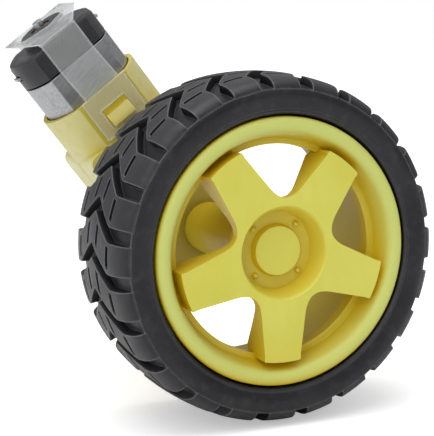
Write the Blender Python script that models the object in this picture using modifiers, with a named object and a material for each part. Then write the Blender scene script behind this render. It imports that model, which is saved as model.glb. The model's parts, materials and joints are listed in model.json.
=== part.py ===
"""Drive wheel and gear motor of a small robot car.

The axle runs along Y and the wheel's outer side faces -Y. The origin is the centre of the
output shaft's far end. The gear motor is built along +X of an empty on the axle, which is
turned about Y, so its X is the motor's direction, its Y the axle and its Z the width.
"""
from math import asin, cos, pi, radians, sin

import bmesh
import bpy
from mathutils import Matrix, Vector

MM = 0.001

# Pose
MOTOR_TILT = radians(52.3)

# Wheel: depths are measured from the tyre's outer side wall plane, inwards
TYRE_RADIUS = 32.5 * MM
TYRE_WIDTH = 26.6 * MM
TYRE_SEAT_RADIUS = 24.2 * MM
TREAD_BLOCKS = 24
TREAD_GROOVE_DEPTH = 1.7 * MM
TREAD_GROOVE_WIDTH = 2.4 * MM
TREAD_PHASE = radians(6.7)
CHEVRON_BEND = 6.0 * MM
CHEVRON_SHIFT = 4.9 * MM
SHOULDER = ((32.5, 5.8), (32.1, 3.4), (31.2, 1.6), (29.8, 0.5), (28.0, 0.0), (26.2, 0.3))
RIM_LIP_RADIUS = 24.7 * MM
FIT_GAP = 0.3 * MM
SPOKES = 5
SPOKE_ANGLE = radians(-91)
SPOKE_TIP_RADIUS = 20.3 * MM
SPOKE_HALF_WIDTH_OUT = 3.6 * MM
SPOKE_HALF_WIDTH_IN = 4.4 * MM
SPOKE_FLARE_RADIUS = 12.5 * MM
WINDOW_INNER_RADIUS = 10.1 * MM
WINDOW_OUTER_RADIUS = 19.5 * MM
RING_DEPTH = 5.0 * MM
WEB_BACK_DEPTH = 8.2 * MM
BOSS_RADIUS = 5.2 * MM
BOSS_DEPTH = 36.0 * MM
BOSS_BORE_DEPTH = 18.0 * MM

# Output shaft
SHAFT_LENGTH = 36.8 * MM
SHAFT_RADIUS = 2.7 * MM
SHAFT_FLATS = 3.7 * MM
SHAFT_FLAT_LENGTH = 8.2 * MM
BEARING_RADIUS = 2.8 * MM

# Gearbox: lengths run from the axle towards the motor
GEARBOX_THICKNESS = 18.8 * MM
GEARBOX_WIDTH = 22.4 * MM
GEARBOX_FRONT = -11.2 * MM
GEARBOX_BACK = 26.5 * MM
GEARBOX_CORNER = 2.0 * MM
COLLAR_BACK = 36.0 * MM
WALL = 1.6 * MM
CHAMBER_RADIUS = 9.3 * MM
CHAMBER_SHOULDER = 16.6 * MM
CHAMBER_NECK = 17.6 * MM
CHAMBER_NECK_HALF_WIDTH = 6.3 * MM
CHAMBER_BACK = 24.0 * MM
POCKET_FRONT = 25.2 * MM
MOUNT_HOLE_ALONG = 20.6 * MM
MOUNT_HOLE_SPACING = 17.6 * MM
MOUNT_HOLE_RADIUS = 1.5 * MM
TAB_LENGTH = 5.0 * MM
TAB_WIDTH = 7.0 * MM
TAB_THICKNESS = 3.0 * MM
TAB_HOLE_ALONG = -13.4 * MM
CATCH_FRONT = 29.1 * MM
CATCH_BACK = 31.6 * MM
CATCH_WIDTH = 5.4 * MM
CATCH_HEIGHT = 2.0 * MM
PIN_ALONG = 10.5 * MM
PIN_RADIUS = 1.0 * MM
PIN_LENGTH = 17.8 * MM
PIN_BEARING_RADIUS = 1.1 * MM

# Housing screws
SCREW_PLACES = ((-8.4 * MM, 8.4 * MM), (-8.4 * MM, -8.4 * MM),
                (24.0 * MM, 9.2 * MM), (24.0 * MM, -9.2 * MM))
SCREW_RADIUS = 0.8 * MM
SCREW_LENGTH = 14.0 * MM
SCREW_HEAD_RADIUS = 1.35 * MM
SCREW_HEAD_HEIGHT = 0.9 * MM
SCREW_HEAD_DEPTH = 1.1 * MM
SCREW_SLOT = (1.0 * MM, 0.2 * MM, 0.5 * MM)

# Gears, all of one module; heights are along the axle from the gearbox's middle
MODULE = 0.5 * MM
TOOTH_ADDENDUM = 0.42 * MM
TOOTH_DEDENDUM = 0.62 * MM
TOOTH_TIP_HALF = 0.16 * MM
TOOTH_ROOT_HALF = 0.46 * MM
PINION_TEETH = 8
CROWN_TEETH = 24
CROWN_SPUR_TEETH = 10
IDLER_TEETH = 32
IDLER_SPUR_TEETH = 15
MIDDLE_TEETH = 27
MIDDLE_SPUR_TEETH = 11
OUTPUT_TEETH = 31
IDLER_LEVEL = (-7.3 * MM, -5.2 * MM)
CROWN_LEVEL = (-4.7 * MM, -2.65 * MM)
CROWN_TOOTH_TOP = -1.6 * MM
CROWN_RING = (5.0 * MM, 6.95 * MM)
CROWN_TOOTH_HALF = 0.25 * MM
CROWN_SPUR_BOTTOM = -7.4 * MM
MIDDLE_LEVEL = (2.9 * MM, 4.7 * MM)
OUTPUT_LEVEL = (5.3 * MM, 7.3 * MM)
SLEEVE_RADIUS = 3.2 * MM
PINION_SPAN = (15.4 * MM, 18.6 * MM)

# Motor
CAN_RADIUS = 10.05 * MM
CAN_FLATS = 15.1 * MM
CAN_WALL = 0.7 * MM
CAN_FRONT = 25.5 * MM
CAN_BACK = 43.4 * MM
CAP_FRONT = 43.7 * MM
CAP_BACK = 49.3 * MM
CAP_CHAMFER = 1.4 * MM
CAP_BOSS_RADIUS = 5.2 * MM
CAP_BOSS_BACK = 51.7 * MM
CAP_BOSS_CHAMFER = 0.6 * MM
MOTOR_SHAFT_RADIUS = 1.0 * MM
MOTOR_SHAFT_SPAN = (15.0 * MM, 53.0 * MM)
ROTOR_BORE_RADIUS = 1.12 * MM
BUSH_RADIUS = 2.6 * MM
FRONT_BUSH_SPAN = (24.3 * MM, 27.0 * MM)
REAR_BUSH_SPAN = (49.0 * MM, 51.4 * MM)
CORE_SPAN = (29.0 * MM, 38.0 * MM)
CORE_RADIUS = 5.9 * MM
CORE_SHOE_RADIUS = 5.0 * MM
CORE_HUB_RADIUS = 2.3 * MM
CORE_POLES = 3
POLE_HALF_WIDTH = 1.0 * MM
POLE_SHOE_ANGLE = radians(50)
WINDING_OUTER = (4.6 * MM, 11.6 * MM)
WINDING_INNER = (2.6 * MM, 9.6 * MM)
WINDING_REACH = (2.7 * MM, 4.2 * MM)
COMMUTATOR_SPAN = (40.4 * MM, 43.6 * MM)
COMMUTATOR_RADIUS = 2.3 * MM
MAGNET_RADII = (6.4 * MM, 9.0 * MM)
MAGNET_HALF_ANGLE = radians(40)
MAGNET_SPAN = (28.0 * MM, 40.0 * MM)
BRUSH_SPAN = (41.0 * MM, 45.6 * MM)
TERMINAL_ALONG = 46.4 * MM
TERMINAL_ENDS = (7.0 * MM, 10.6 * MM)

# Strap
STRAP_THICKNESS = 1.0 * MM
STRAP_REACH = 27.4 * MM
STRAP_BACK = 52.0 * MM
STRAP_FOLD = 50.3 * MM
STRAP_BEND = 43.5 * MM
STRAP_LEG_WIDTH = 8.4 * MM
STRAP_FOOT_WIDTH = 10.7 * MM
STRAP_PLATE_WIDTH = 14.6 * MM
STRAP_PLATE_DEPTH = 10.6 * MM
STRAP_WINDOW = (28.8 * MM, 33.0 * MM)
STRAP_WINDOW_WIDTH = 6.0 * MM
STRAP_HOLE_RADIUS = 5.6 * MM

# Derived places
GEARBOX_MIDDLE_Y = -SHAFT_LENGTH / 2
WHEEL_FACE_Y = GEARBOX_MIDDLE_Y - 46.5 * MM
HALF_THICKNESS = GEARBOX_THICKNESS / 2
HALF_WIDTH = GEARBOX_WIDTH / 2
SEAM = FIT_GAP / 2
CUT_EXTRA = 1.0 * MM

ALONG_AXLE = (-pi / 2, 0, 0)
ALONG_MOTOR = (0, pi / 2, 0)
ACROSS_WIDTH = (pi / 2, 0, 0)

COLOURS = {
    "tyre_rubber": ((0.020, 0.020, 0.026), 0.75, 0.0),
    "rim_plastic": ((0.66, 0.60, 0.10), 0.38, 0.0),
    "housing_plastic": ((0.70, 0.62, 0.24), 0.42, 0.0),
    "gear_nylon": ((0.86, 0.84, 0.78), 0.45, 0.0),
    "steel": ((0.62, 0.62, 0.64), 0.28, 1.0),
    "can_steel": ((0.55, 0.55, 0.57), 0.35, 1.0),
    "brass": ((0.70, 0.52, 0.22), 0.32, 1.0),
    "copper": ((0.62, 0.28, 0.14), 0.38, 1.0),
    "magnet": ((0.12, 0.11, 0.11), 0.60, 0.2),
    "cap_plastic": ((0.03, 0.03, 0.032), 0.50, 0.0),
    "strap_plastic": ((0.80, 0.82, 0.82), 0.20, 0.0),
}


def start_scene():
    """Empty the scene and return the collections for parts and for cutters."""
    for obj in list(bpy.data.objects):
        bpy.data.objects.remove(obj, do_unlink=True)
    made = []
    for name in ("wheel_gear_motor", "cutters"):
        collection = bpy.data.collections.new(name)
        bpy.context.scene.collection.children.link(collection)
        made.append(collection)
    return made


PARTS, CUTTERS = start_scene()


def new_object(name, mesh):
    obj = bpy.data.objects.new(name, mesh)
    PARTS.objects.link(obj)
    return obj


def place(obj, parent=None, location=(0, 0, 0), rotation=(0, 0, 0)):
    obj.parent = parent
    obj.location = location
    obj.rotation_euler = rotation
    return obj


def empty(name, parent=None, location=(0, 0, 0), rotation=(0, 0, 0)):
    return place(new_object(name, None), parent, location, rotation)


def finish(obj, look):
    """Give a part its own material, and shade its round faces smooth."""
    colour, roughness, metallic = COLOURS[look]
    material = bpy.data.materials.new(obj.name)
    material.use_nodes = True
    shader = material.node_tree.nodes["Principled BSDF"]
    shader.inputs["Base Color"].default_value = (*colour, 1)
    shader.inputs["Roughness"].default_value = roughness
    shader.inputs["Metallic"].default_value = metallic
    obj.data.materials.clear()
    obj.data.materials.append(material)
    obj.data.shade_smooth()
    obj.data.set_sharp_from_angle(angle=radians(35))
    return obj


def freeze(obj):
    """Replace an object's data by its evaluated mesh, with loose caps welded."""
    bpy.context.view_layer.update()
    evaluated = obj.evaluated_get(bpy.context.evaluated_depsgraph_get())
    mesh = bpy.data.meshes.new_from_object(evaluated)
    mesh.name = obj.name
    bm = bmesh.new()
    bm.from_mesh(mesh)
    bmesh.ops.remove_doubles(bm, verts=bm.verts, dist=0.001 * MM)
    bm.to_mesh(mesh)
    bm.free()
    solid = new_object(obj.name + "_solid", mesh)
    name = obj.name
    bpy.data.objects.remove(obj, do_unlink=True)
    solid.name = name
    return solid


def turned(name, profile, steps, ring=False):
    """Turn (radius, height) points about Z; they run down the outer side."""
    mesh = bpy.data.meshes.new(name)
    bm = bmesh.new()
    points = [bm.verts.new((radius, 0, height)) for radius, height in profile]
    for first, second in zip(points, points[1:]):
        bm.edges.new((first, second))
    if ring:
        bm.edges.new((points[-1], points[0]))
    bm.to_mesh(mesh)
    bm.free()
    obj = new_object(name, mesh)
    screw = obj.modifiers.new("Turn", "SCREW")
    screw.axis = "Z"
    screw.steps = steps
    screw.render_steps = steps
    screw.use_merge_vertices = True
    screw.merge_threshold = 0.001 * MM
    return freeze(obj)


def rod(name, radius, low, high, steps=24):
    return turned(name, ((0, high), (radius, high), (radius, low), (0, low)), steps)


def tube(name, outer, inner, low, high, steps=24):
    return turned(name, ((outer, high), (outer, low), (inner, low), (inner, high)), steps, ring=True)


def plate(name, outlines, low, high):
    """Fill flat outlines in XY, holes included, and give them a height along Z."""
    curve = bpy.data.curves.new(name, "CURVE")
    curve.dimensions = "2D"
    curve.fill_mode = "BOTH"
    curve.extrude = (high - low) / 2
    for outline in outlines:
        spline = curve.splines.new("POLY")
        spline.points.add(len(outline) - 1)
        for point, (x, y) in zip(spline.points, outline):
            point.co = (x, y, 0, 1)
        spline.use_cyclic_u = True
    obj = freeze(new_object(name, curve))
    for vertex in obj.data.vertices:
        vertex.co.z += (low + high) / 2
    return obj


def block(name, low, high):
    """Box between two corners."""
    mesh = bpy.data.meshes.new(name)
    bm = bmesh.new()
    bmesh.ops.create_cube(bm, size=1)
    for vertex in bm.verts:
        for axis in range(3):
            vertex.co[axis] = high[axis] if vertex.co[axis] > 0 else low[axis]
    bm.to_mesh(mesh)
    bm.free()
    return new_object(name, mesh)


def combine(target, tool, operation):
    """Join or cut a part with a tool object, which is kept as a hidden guide."""
    modifier = target.modifiers.new(tool.name, "BOOLEAN")
    modifier.operation = operation
    modifier.solver = "EXACT"
    modifier.object = tool
    PARTS.objects.unlink(tool)
    CUTTERS.objects.link(tool)
    tool.hide_render = True
    tool.display_type = "WIRE"


def arc(radius, start, end, count, centre=(0, 0)):
    """Points on an arc, from the start angle to the end angle."""
    angles = [start + (end - start) * step / count for step in range(count + 1)]
    return [(centre[0] + radius * cos(angle), centre[1] + radius * sin(angle)) for angle in angles]


def circle(radius, count, centre=(0, 0)):
    return arc(radius, 0, 2 * pi, count, centre)[:-1]


def rounded_box(low, high, radius, count=4):
    corners = ((high[0], high[1], 0), (low[0], high[1], 1), (low[0], low[1], 2), (high[0], low[1], 3))
    points = []
    for x, y, quarter in corners:
        centre = (x - radius if x == high[0] else x + radius, y - radius if y == high[1] else y + radius)
        points += arc(radius, quarter * pi / 2, (quarter + 1) * pi / 2, count, centre)
    return points


def gear_outline(teeth, first_tooth):
    """Straight-sided teeth round a pitch circle, one of them at the given angle."""
    pitch = MODULE * teeth / 2
    root = pitch - TOOTH_DEDENDUM
    tip = pitch + TOOTH_ADDENDUM
    points = []
    for tooth in range(teeth):
        angle = first_tooth + 2 * pi * tooth / teeth
        for radius, half in ((root, -TOOTH_ROOT_HALF), (tip, -TOOTH_TIP_HALF),
                             (tip, TOOTH_TIP_HALF), (root, TOOTH_ROOT_HALF)):
            turn = angle + asin(half / radius)
            points.append((radius * cos(turn), radius * sin(turn)))
    return points


def tyre_profile():
    """Cross-section of the tyre, from its inner side wall over the tread to the outer one."""
    outer = [(radius * MM, depth * MM) for radius, depth in SHOULDER]
    bead = [(RIM_LIP_RADIUS + FIT_GAP, 0.9 * MM), (RIM_LIP_RADIUS + FIT_GAP, 2.9 * MM),
            (TYRE_SEAT_RADIUS, 3.3 * MM)]
    front = [(TYRE_RADIUS + 0.1 * MM, TYRE_WIDTH / 2)] + outer + bead
    back = [(radius, TYRE_WIDTH - depth) for radius, depth in reversed(front[1:])]
    return back + front


def groove_outline():
    """Chevron band across the tread: straight over the shoulders, slanted to the middle."""
    line = ((0, -CUT_EXTRA), (0, CHEVRON_BEND), (CHEVRON_SHIFT, TYRE_WIDTH / 2),
            (0, TYRE_WIDTH - CHEVRON_BEND), (0, TYRE_WIDTH + CUT_EXTRA))
    half = TREAD_GROOVE_WIDTH / 2
    return [(y - half, z) for y, z in line] + [(y + half, z) for y, z in reversed(line)]


def make_tyre(parent):
    tyre = turned("tyre", tyre_profile(), 3 * TREAD_BLOCKS, ring=True)
    outline = groove_outline()
    bm = bmesh.new()
    for groove in range(TREAD_BLOCKS):
        turn = Matrix.Rotation(-TREAD_PHASE - 2 * pi * groove / TREAD_BLOCKS, 3, "Z")
        floor, top = [[bm.verts.new(turn @ Vector((radius, y, z))) for y, z in outline]
                      for radius in (TYRE_RADIUS - TREAD_GROOVE_DEPTH, TYRE_RADIUS + CUT_EXTRA)]
        bm.faces.new(floor)
        bm.faces.new(top)
        for first in range(len(outline)):
            second = (first + 1) % len(outline)
            bm.faces.new((floor[first], floor[second], top[second], top[first]))
    bmesh.ops.recalc_face_normals(bm, faces=bm.faces)
    mesh = bpy.data.meshes.new("tread_grooves")
    bm.to_mesh(mesh)
    bm.free()
    grooves = new_object("tread_grooves", mesh)
    for obj in (tyre, grooves):
        place(obj, parent, (0, WHEEL_FACE_Y, 0), ALONG_AXLE)
    combine(tyre, grooves, "DIFFERENCE")
    finish(tyre, "tyre_rubber")


def rim_profile():
    """Half section of the rim, from the boss's back end round the barrel to the hub's face."""
    barrel_back = TYRE_WIDTH - 0.8 * MM
    seat = TYRE_SEAT_RADIUS - FIT_GAP
    points = (
        (0, BOSS_DEPTH), (BOSS_RADIUS, BOSS_DEPTH), (BOSS_RADIUS + 0.4 * MM, 6.6 * MM),
        (8.6 * MM, 6.6 * MM), (9.4 * MM, 2.6 * MM), (WINDOW_INNER_RADIUS, 2.2 * MM),
        (18.6 * MM, WEB_BACK_DEPTH), (20.4 * MM, WEB_BACK_DEPTH - 1.2 * MM), (22.6 * MM, 9.4 * MM),
        (23.1 * MM, barrel_back), (RIM_LIP_RADIUS, barrel_back), (RIM_LIP_RADIUS, barrel_back - 1.6 * MM),
        (seat, barrel_back - 2.0 * MM), (seat, 3.1 * MM), (RIM_LIP_RADIUS, 2.6 * MM),
        (RIM_LIP_RADIUS, 1.0 * MM), (24.2 * MM, 0.4 * MM), (23.3 * MM, 0.2 * MM), (22.3 * MM, 0.6 * MM),
        (21.6 * MM, 1.6 * MM), (20.5 * MM, RING_DEPTH), (SPOKE_TIP_RADIUS, RING_DEPTH),
        (SPOKE_TIP_RADIUS, 0.6 * MM), (8.7 * MM, 0.4 * MM), (8.3 * MM, 0.8 * MM), (7.0 * MM, 4.6 * MM),
        (5.1 * MM, 4.6 * MM), (4.7 * MM, 3.4 * MM), (0, 3.3 * MM),
    )
    return points


def window_outline(angle, outer_radius):
    """One opening between two spokes, round at its inner end."""
    half_sector = pi / SPOKES
    outer = half_sector - asin(SPOKE_HALF_WIDTH_OUT / outer_radius)
    inner = half_sector - asin(SPOKE_HALF_WIDTH_IN / SPOKE_FLARE_RADIUS)
    side = (SPOKE_FLARE_RADIUS * cos(inner), SPOKE_FLARE_RADIUS * sin(inner))
    rim = (outer_radius * cos(outer), outer_radius * sin(outer))
    slope = (rim[1] - side[1]) / (rim[0] - side[0])
    corner = (WINDOW_INNER_RADIUS, side[1] - slope * (side[0] - WINDOW_INNER_RADIUS))
    bottom = []
    for step in range(5):
        t = step / 4
        bend = [(1 - t) ** 2 * side[k] + 2 * t * (1 - t) * corner[k] + t * t * (WINDOW_INNER_RADIUS, 0)[k]
                for k in (0, 1)]
        bottom.append(bend)
    upper = arc(outer_radius, -outer, outer, 6) + bottom
    lower = [(x, -y) for x, y in reversed(bottom[:-1])]
    return [(x * cos(angle) - y * sin(angle), x * sin(angle) + y * cos(angle)) for x, y in upper + lower]


def make_rim(parent):
    rim = turned("wheel_rim", rim_profile(), 50)
    angles = [-(SPOKE_ANGLE + 2 * pi * (spoke + 0.5) / SPOKES) for spoke in range(SPOKES)]
    deep = plate("windows", [window_outline(angle, WINDOW_OUTER_RADIUS) for angle in angles],
                 -CUT_EXTRA, WEB_BACK_DEPTH + 2 * CUT_EXTRA)
    gap_radius = SPOKE_TIP_RADIUS + 0.15 * MM
    shallow = plate("window_fronts", [window_outline(angle, gap_radius) for angle in angles],
                    -CUT_EXTRA, RING_DEPTH)
    bore = plate("hub_bore", [shaft_outline(FIT_GAP)], BOSS_BORE_DEPTH, BOSS_DEPTH + CUT_EXTRA)
    for obj in (rim, deep, shallow, bore):
        place(obj, parent, (0, WHEEL_FACE_Y, 0), ALONG_AXLE)
    for cutter in (deep, shallow, bore):
        combine(rim, cutter, "DIFFERENCE")
    finish(rim, "rim_plastic")


def shaft_outline(gap):
    """Round shaft section with two flats, grown by a gap."""
    radius = SHAFT_RADIUS + gap
    half = asin((SHAFT_FLATS / 2 + gap) / radius)
    return arc(radius, -half, half, 6) + arc(radius, pi - half, pi + half, 6)


def make_output_shaft(parent):
    shaft = rod("output_shaft", SHAFT_RADIUS, -SHAFT_LENGTH, 0, 32)
    half = SHAFT_FLATS / 2
    reach = SHAFT_RADIUS + CUT_EXTRA
    place(shaft, parent, (0, 0, 0), ALONG_AXLE)
    for end, low, high in (("far", -SHAFT_FLAT_LENGTH, CUT_EXTRA),
                           ("near", -SHAFT_LENGTH - CUT_EXTRA, SHAFT_FLAT_LENGTH - SHAFT_LENGTH)):
        for side, span in (("upper", (half, reach)), ("lower", (-reach, -half))):
            flat = block(f"shaft_flat_{end}_{side}", (-reach, span[0], low), (reach, span[1], high))
            place(flat, parent, (0, 0, 0), ALONG_AXLE)
            combine(shaft, flat, "DIFFERENCE")
    finish(shaft, "gear_nylon")


def bored(gear, radius, low, high, steps=24):
    """Cut a bore along an axle through a gear."""
    bore = rod(gear.name + "_bore", radius, low - CUT_EXTRA, high + CUT_EXTRA, steps)
    place(bore, gear.parent, gear.location, gear.rotation_euler)
    combine(gear, bore, "DIFFERENCE")


def make_output_gear(frame):
    gear = plate("output_gear", [gear_outline(OUTPUT_TEETH, 0)], *OUTPUT_LEVEL)
    place(gear, frame, (0, 0, 0), ALONG_AXLE)
    bored(gear, BEARING_RADIUS, *OUTPUT_LEVEL, 32)
    finish(gear, "gear_nylon")


def make_idler_gear(frame):
    gear = plate("idler_gear", [gear_outline(IDLER_TEETH, 0)], *IDLER_LEVEL)
    sleeve = rod("idler_sleeve", SLEEVE_RADIUS, IDLER_LEVEL[0] + 0.5 * MM, MIDDLE_LEVEL[0] + 0.5 * MM, 32)
    spur = plate("idler_spur", [gear_outline(IDLER_SPUR_TEETH, 0)], *MIDDLE_LEVEL)
    for obj in (gear, sleeve, spur):
        place(obj, frame, (0, 0, 0), ALONG_AXLE)
    combine(gear, sleeve, "UNION")
    combine(gear, spur, "UNION")
    bored(gear, BEARING_RADIUS, IDLER_LEVEL[0], MIDDLE_LEVEL[1], 32)
    finish(gear, "gear_nylon")


def facing_gap(teeth):
    """Angle of a first tooth that leaves a gap pointing back at the output shaft."""
    return pi + pi / teeth


def make_middle_gear(frame):
    gear = plate("middle_gear", [gear_outline(MIDDLE_TEETH, facing_gap(MIDDLE_TEETH))], *MIDDLE_LEVEL)
    spur = plate("middle_spur", [gear_outline(MIDDLE_SPUR_TEETH, facing_gap(MIDDLE_SPUR_TEETH))],
                 MIDDLE_LEVEL[1] - 0.4 * MM, OUTPUT_LEVEL[1])
    for obj in (gear, spur):
        place(obj, frame, (PIN_ALONG, 0, 0), ALONG_AXLE)
    combine(gear, spur, "UNION")
    bored(gear, PIN_BEARING_RADIUS, MIDDLE_LEVEL[0], OUTPUT_LEVEL[1])
    finish(gear, "gear_nylon")


def crown_tooth(angle):
    half = CROWN_TOOTH_HALF / ((CROWN_RING[0] + CROWN_RING[1]) / 2)
    inner = arc(CROWN_RING[0], angle + half, angle - half, 1)
    return arc(CROWN_RING[1], angle - half, angle + half, 1) + inner


def make_crown_gear(frame):
    gear = plate("crown_gear", [circle(CROWN_RING[1], 2 * CROWN_TEETH)], *CROWN_LEVEL)
    pitch = 2 * pi / CROWN_TEETH
    teeth = plate("crown_teeth", [crown_tooth(pitch * (tooth + 0.5)) for tooth in range(CROWN_TEETH)],
                  CROWN_LEVEL[1] - 0.3 * MM, CROWN_TOOTH_TOP)
    spur = plate("crown_spur", [gear_outline(CROWN_SPUR_TEETH, facing_gap(CROWN_SPUR_TEETH))],
                 CROWN_SPUR_BOTTOM, CROWN_LEVEL[0] + 0.4 * MM)
    for obj in (gear, teeth, spur):
        place(obj, frame, (PIN_ALONG, 0, 0), ALONG_AXLE)
    combine(gear, teeth, "UNION")
    combine(gear, spur, "UNION")
    bored(gear, PIN_BEARING_RADIUS, CROWN_SPUR_BOTTOM, CROWN_TOOTH_TOP)
    finish(gear, "gear_nylon")


def can_outline(grow):
    """Round motor section with two flats, grown by an amount."""
    radius = CAN_RADIUS + grow
    half = asin((CAN_FLATS / 2 + grow) / radius)
    return arc(radius, -half, half, 9) + arc(radius, pi - half, pi + half, 9)


def collar_outline(side):
    """Half section of the round collar on one side of the seam."""
    half = asin(HALF_THICKNESS / HALF_WIDTH)
    start = asin(SEAM / HALF_WIDTH)
    right = arc(HALF_WIDTH, start, half, 8)
    left = [(-x, y) for x, y in reversed(right)]
    return [(x, side * y) for x, y in right + left]


def side_span(side, low, high):
    """Order two heights on one side of the seam."""
    return (low, high) if side > 0 else (-high, -low)


def make_housing(frame, name, side):
    """One half of the gearbox; side is -1 by the wheel and 1 away from it."""
    body = rounded_box((GEARBOX_FRONT, -HALF_WIDTH), (GEARBOX_BACK, HALF_WIDTH), GEARBOX_CORNER)
    half = plate(name, [body], *side_span(side, SEAM, HALF_THICKNESS))
    tab = plate(name + "_tab", [rounded_box((GEARBOX_FRONT - TAB_LENGTH, -TAB_WIDTH / 2),
                                            (GEARBOX_FRONT + CUT_EXTRA, TAB_WIDTH / 2), 0.8 * MM)],
                *side_span(side, SEAM, TAB_THICKNESS / 2))
    collar = plate(name + "_collar", [collar_outline(side)], GEARBOX_BACK - CUT_EXTRA, COLLAR_BACK)
    base = HALF_THICKNESS - 0.5 * MM
    top = HALF_THICKNESS + CATCH_HEIGHT
    ramp = [(CATCH_FRONT, side * base), (CATCH_BACK, side * base),
            (CATCH_BACK, side * (HALF_THICKNESS + 1.2 * MM)),
            (CATCH_FRONT + 0.8 * MM, side * top), (CATCH_FRONT, side * top)]
    catch = plate(name + "_catch", [ramp], -CATCH_WIDTH / 2, CATCH_WIDTH / 2)
    for obj in (half, tab):
        place(obj, frame, (0, 0, 0), ALONG_AXLE)
    place(collar, frame, (0, 0, 0), ALONG_MOTOR)
    place(catch, frame)
    for tool in (collar, tab, catch):
        combine(half, tool, "UNION")
    cut_housing(frame, half, name, side)
    finish(half, "housing_plastic")


def chamber_outline():
    """Inside of the gear chamber: round at the front, with a neck between the bolt blocks."""
    front = arc(CHAMBER_RADIUS, pi / 2, 3 * pi / 2, 16)
    lower = [(CHAMBER_SHOULDER, -CHAMBER_RADIUS), (CHAMBER_NECK, -CHAMBER_NECK_HALF_WIDTH),
             (CHAMBER_BACK, -CHAMBER_NECK_HALF_WIDTH)]
    upper = [(x, -y) for x, y in reversed(lower)]
    return front + lower + upper


def cut_housing(frame, half, name, side):
    """Chamber, motor pocket and every hole of one half of the gearbox."""
    through = side_span(side, -CUT_EXTRA, HALF_THICKNESS + CUT_EXTRA)
    chamber = plate(name + "_chamber", [chamber_outline()],
                    *side_span(side, -CUT_EXTRA, HALF_THICKNESS - WALL))
    holes = [rod(name + "_shaft_hole", BEARING_RADIUS, *through, 32)]
    bolts = [circle(MOUNT_HOLE_RADIUS, 20, (MOUNT_HOLE_ALONG, sign * MOUNT_HOLE_SPACING / 2))
             for sign in (-1, 1)]
    bolts.append(circle(MOUNT_HOLE_RADIUS, 20, (TAB_HOLE_ALONG, 0)))
    holes.append(plate(name + "_bolt_holes", bolts, *through))
    pin_depth = PIN_LENGTH / 2 + 0.1 * MM
    holes.append(plate(name + "_pin_hole", [circle(PIN_RADIUS + FIT_GAP / 2, 20, (PIN_ALONG, 0))],
                       *side_span(side, -CUT_EXTRA, pin_depth)))
    screw_hole = SCREW_RADIUS + FIT_GAP
    if side > 0:
        screw_span = through
        heads = [circle(SCREW_HEAD_RADIUS + FIT_GAP, 16, spot) for spot in SCREW_PLACES]
        holes.append(plate(name + "_screw_heads", heads, HALF_THICKNESS - SCREW_HEAD_DEPTH,
                           HALF_THICKNESS + CUT_EXTRA))
    else:
        screw_span = (HALF_THICKNESS - SCREW_HEAD_DEPTH - SCREW_LENGTH - FIT_GAP, CUT_EXTRA)
    shanks = [circle(screw_hole, 12, spot) for spot in SCREW_PLACES]
    holes.append(plate(name + "_screw_holes", shanks, *screw_span))
    for cutter in [chamber] + holes:
        place(cutter, frame, (0, 0, 0), ALONG_AXLE)
    pocket = plate(name + "_pocket", [can_outline(FIT_GAP)], POCKET_FRONT, COLLAR_BACK + CUT_EXTRA)
    boss = rod(name + "_boss_hole", BUSH_RADIUS + 2 * FIT_GAP,
               CHAMBER_BACK - CUT_EXTRA, POCKET_FRONT + CUT_EXTRA)
    for cutter in (pocket, boss):
        place(cutter, frame, (0, 0, 0), ALONG_MOTOR)
    for cutter in [chamber, pocket, boss] + holes:
        combine(half, cutter, "DIFFERENCE")


def make_pin(frame):
    pin = rod("gear_pin", PIN_RADIUS, -PIN_LENGTH / 2, PIN_LENGTH / 2)
    place(pin, frame, (PIN_ALONG, 0, 0), ALONG_AXLE)
    finish(pin, "steel")


def make_screws(frame):
    """Pan-head screws, put in from the side away from the wheel."""
    seat = HALF_THICKNESS - SCREW_HEAD_DEPTH + 0.1 * MM
    top = seat + SCREW_HEAD_HEIGHT
    profile = ((0, top), (SCREW_HEAD_RADIUS * 0.7, top), (SCREW_HEAD_RADIUS, top - 0.4 * MM),
               (SCREW_HEAD_RADIUS, seat), (SCREW_RADIUS, seat), (SCREW_RADIUS, seat - SCREW_LENGTH + 1 * MM),
               (0, seat - SCREW_LENGTH))
    slot_long, slot_half, slot_depth = SCREW_SLOT
    for number, (along, across) in enumerate(SCREW_PLACES, 1):
        screw = turned(f"housing_screw_{number}", profile, 12)
        place(screw, frame, (along, 0, -across), ALONG_AXLE)
        for cut, (x, y) in enumerate(((slot_long, slot_half), (slot_half, slot_long)), 1):
            slot = block(f"screw_{number}_slot_{cut}", (-x, -y, top - slot_depth), (x, y, top + CUT_EXTRA))
            place(slot, frame, (along, 0, -across), ALONG_AXLE)
            combine(screw, slot, "DIFFERENCE")
        finish(screw, "steel")


def along_motor(obj, parent):
    return place(obj, parent, (0, 0, 0), ALONG_MOTOR)


def make_can(frame):
    can = plate("motor_can", [can_outline(0)], CAN_FRONT, CAN_BACK)
    inside = plate("can_inside", [can_outline(-CAN_WALL)], CAN_FRONT + CAN_WALL, CAN_BACK + CUT_EXTRA)
    hole = rod("can_bush_hole", BUSH_RADIUS + FIT_GAP, CAN_FRONT - CUT_EXTRA, CAN_FRONT + 2 * CUT_EXTRA)
    for obj in (can, inside, hole):
        along_motor(obj, frame)
    combine(can, inside, "DIFFERENCE")
    combine(can, hole, "DIFFERENCE")
    finish(can, "can_steel")


def mark_top_edges(mesh, height):
    """Give a bevel weight to the sharp edges at one height."""
    weights = mesh.attributes.new("bevel_weight_edge", "FLOAT", "EDGE")
    bm = bmesh.new()
    bm.from_mesh(mesh)
    for edge in bm.edges:
        level = min(vertex.co.z for vertex in edge.verts) > height - 0.1 * MM
        weights.data[edge.index].value = float(level and edge.calc_face_angle() > radians(60))
    bm.free()


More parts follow.
